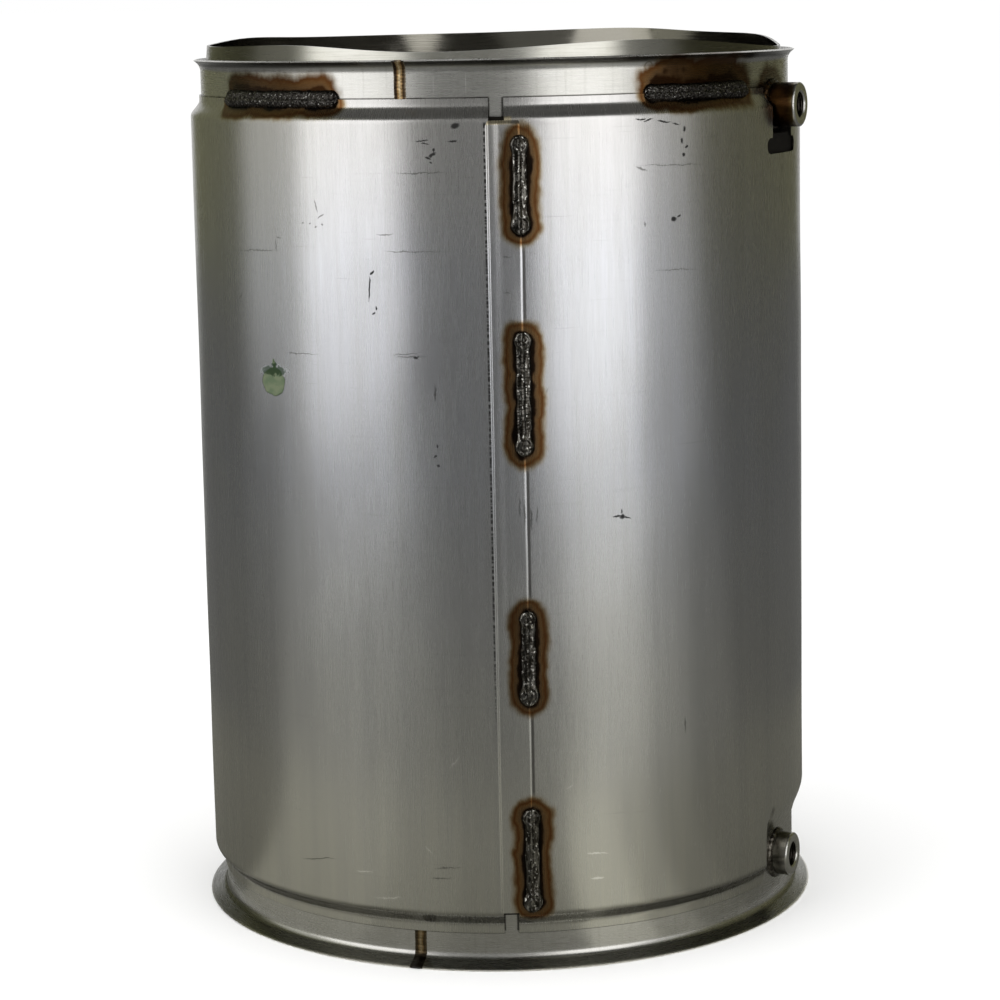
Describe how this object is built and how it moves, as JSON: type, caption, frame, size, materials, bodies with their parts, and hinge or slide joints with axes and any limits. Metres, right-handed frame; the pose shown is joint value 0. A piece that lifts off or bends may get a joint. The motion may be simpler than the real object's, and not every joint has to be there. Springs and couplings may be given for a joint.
{
  "type": "diesel particulate filter",
  "caption": "Round exhaust filter: ceramic honeycomb in a flared steel can with a stitch-welded heat shield, two sensor bosses and an open spigot ring",
  "frame": {"origin": "on the axis of the can, in the plane of the outlet lip", "axes": "+Z along the axis from outlet to inlet, -Y is the side with the lap seam of the heat shield, +X to the right of it"},
  "size_m": [0.326, 0.3261, 0.4581],
  "materials": {
    "can_steel": "mill finish stainless, darkened at the lips",
    "shield_steel": "fine vertical grain, heat tint beside the welds",
    "spigot_steel": "bright rolled sheet",
    "weld_tinted": "gold to brown heat tint",
    "weld_dark": "rippled dark weld with bright specks",
    "boss_steel": "turned, dark brown heat tint",
    "ring_steel": "rolled sheet",
    "ceramic": "matt grey silicon carbide with pale cement joints",
    "fibre": "pressed mineral fibre",
    "dark_fibre": "needled mineral fibre darkened by heat",
    "wire": "knitted steel wire"
  },
  "bodies": {
    "root": {"can_shell": "can_steel", "can_seam_weld": "weld_tinted", "inlet_spigot_ring": "spigot_steel", "heat_shield": "shield_steel", "insulation_blanket": "dark_fibre", "seam_weld_1": "weld_dark", "seam_weld_2": "weld_dark", "seam_weld_3": "weld_dark", "seam_weld_4": "weld_dark", "band_weld_left": "weld_dark", "band_weld_right": "weld_dark", "inlet_sensor_boss": "boss_steel", "outlet_sensor_boss": "boss_steel", "inlet_boss_weld": "weld_dark", "outlet_boss_weld": "weld_dark", "filter_substrate": "ceramic", "support_mat": "fibre", "inlet_end_seal": "wire", "outlet_end_seal": "wire", "inlet_retaining_ring": "ring_steel", "outlet_retaining_ring": "ring_steel"}
  },
  "joints": []
}
